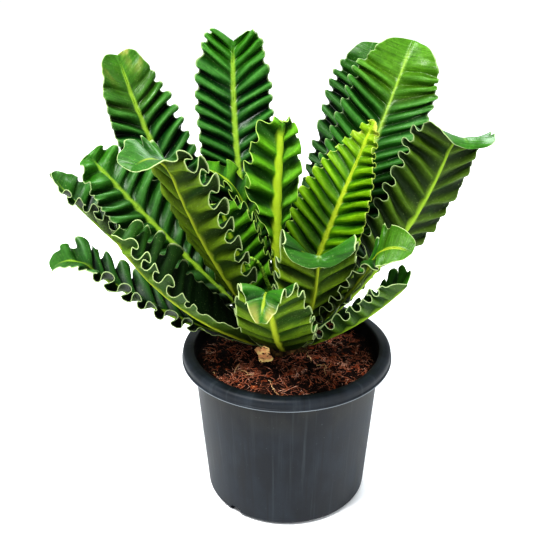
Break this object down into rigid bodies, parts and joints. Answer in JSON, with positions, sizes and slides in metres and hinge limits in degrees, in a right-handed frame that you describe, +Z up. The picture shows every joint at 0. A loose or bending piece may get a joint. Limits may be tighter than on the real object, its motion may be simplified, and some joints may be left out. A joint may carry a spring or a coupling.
{
  "type": "potted crinkled bird's nest fern",
  "caption": "Rosette of long leathery fern fronds with raised ribs and deeply waved, pleated blades, rising from a fibrous rootstock in a round nursery pot filled with coir potting mix",
  "frame": {"origin": "middle of the pot's flat underside, on the pot's axis", "axes": "+Z up, -Y towards the side the plant is pictured from, +X to that side's right"},
  "size_m": [0.497, 0.4205, 0.5237],
  "materials": {
    "pot_plastic": "satin charcoal plastic with a faint dusty bloom",
    "coir": "loose red-brown coconut fibre and chips, fully matte",
    "rootstock": "rough, scaly and matte",
    "frond": "semi-gloss deep green, paler yellow-green ribs, olive undersides",
    "young_frond": "soft satin yellow-green",
    "dead_leaf": "dry, tan and matte"
  },
  "bodies": {
    "root": {"pot": "pot_plastic", "potting_mix": "coir", "rootstock": "rootstock", "frond_back_left": "frond", "frond_back_middle": "frond", "frond_back_right": "frond", "frond_behind_right": "frond", "frond_right": "frond", "frond_left": "frond", "frond_far_left": "frond", "frond_low_left": "frond", "frond_near_left": "frond", "frond_folded_left": "frond", "frond_front": "frond", "frond_front_right": "frond", "frond_near_right": "frond", "frond_low_right": "frond", "frond_hidden_right": "frond", "frond_hidden_back": "frond", "frond_hidden_left": "frond", "frond_young_right": "young_frond", "frond_young_middle": "young_frond", "frond_young_bent": "young_frond", "frond_young_left": "young_frond", "crozier": "young_frond", "leaf_scrap": "dead_leaf", "sprout": "young_frond"}
  },
  "joints": []
}
